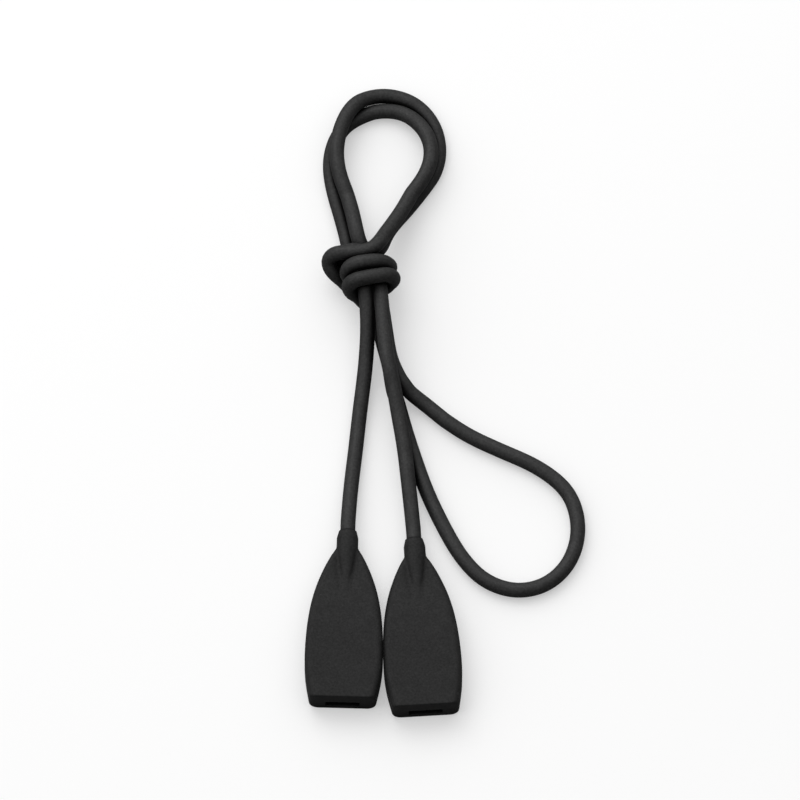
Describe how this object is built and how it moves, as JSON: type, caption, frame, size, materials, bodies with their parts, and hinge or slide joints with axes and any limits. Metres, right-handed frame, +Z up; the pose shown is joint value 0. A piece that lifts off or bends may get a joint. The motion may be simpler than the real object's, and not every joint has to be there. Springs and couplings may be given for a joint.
{
  "type": "eyewear retainer cord",
  "caption": "Soft knotted neck cord whose ends carry flat moulded grips with a slot that holds the temple of a pair of glasses.",
  "frame": {"origin": "middle of the bounding box on the table plane that the object lies on", "axes": "+Y from the grips to the top loop, along the cord; +Z up from the table; +X towards the side loop"},
  "size_m": [0.066, 0.1618, 0.0141],
  "materials": {
    "cord": "matt, smooth extruded surface",
    "grip": "matt, lightly textured moulding"
  },
  "bodies": {
    "knot": {"knot_strand_left": "cord", "knot_strand_right": "cord", "knot_wrap_upper": "cord", "knot_wrap_lower": "cord"},
    "top_loop": {"top_loop_inner": "cord", "top_loop_outer": "cord"},
    "side_loop": {"side_loop": "cord"},
    "left_upper_tail": {"left_tail_upper": "cord"},
    "left_lower_tail": {"left_tail_lower": "cord"},
    "left_end": {"left_cord_end": "cord", "left_grip": "grip"},
    "right_upper_tail": {"right_tail_upper": "cord"},
    "right_lower_tail": {"right_tail_lower": "cord"},
    "right_end": {"right_cord_end": "cord", "right_grip": "grip"}
  },
  "joints": [
    {"name": "top_loop_lift", "type": "hinge", "parent": "knot", "child": "top_loop", "pos_m": [-0.016, 0.05221, 0.0054], "axis": [1, 0, 0], "range_deg": [0, 55]},
    {"name": "side_loop_lift", "type": "hinge", "parent": "knot", "child": "side_loop", "pos_m": [-0.00021, -0.01884, 0.0018], "axis": [0, -1, 0], "range_deg": [0, 65]},
    {"name": "left_tail_sway", "type": "hinge", "parent": "knot", "child": "left_upper_tail", "pos_m": [-0.01851, 0.02271, 0.008], "axis": [0, 0, -1], "range_deg": [0, 25]},
    {"name": "left_tail_bend", "type": "hinge", "parent": "left_upper_tail", "child": "left_lower_tail", "pos_m": [-0.01996, -0.00179, 0.0022], "axis": [-1, 0, 0], "range_deg": [0, 50]},
    {"name": "left_grip_bend", "type": "hinge", "parent": "left_lower_tail", "child": "left_end", "pos_m": [-0.02281, -0.03129, 0.0034], "axis": [-1, 0, 0], "range_deg": [0, 60]},
    {"name": "right_tail_lift", "type": "hinge", "parent": "knot", "child": "right_upper_tail", "pos_m": [-0.01501, 0.02271, 0.009], "axis": [-1, 0, 0], "range_deg": [0, 40]},
    {"name": "right_tail_bend", "type": "hinge", "parent": "right_upper_tail", "child": "right_lower_tail", "pos_m": [-0.01096, -0.00529, 0.0056], "axis": [-1, 0, 0], "range_deg": [0, 50]},
    {"name": "right_grip_bend", "type": "hinge", "parent": "right_lower_tail", "child": "right_end", "pos_m": [-0.00751, -0.03329, 0.0034], "axis": [-1, 0, 0], "range_deg": [0, 60]}
  ]
}
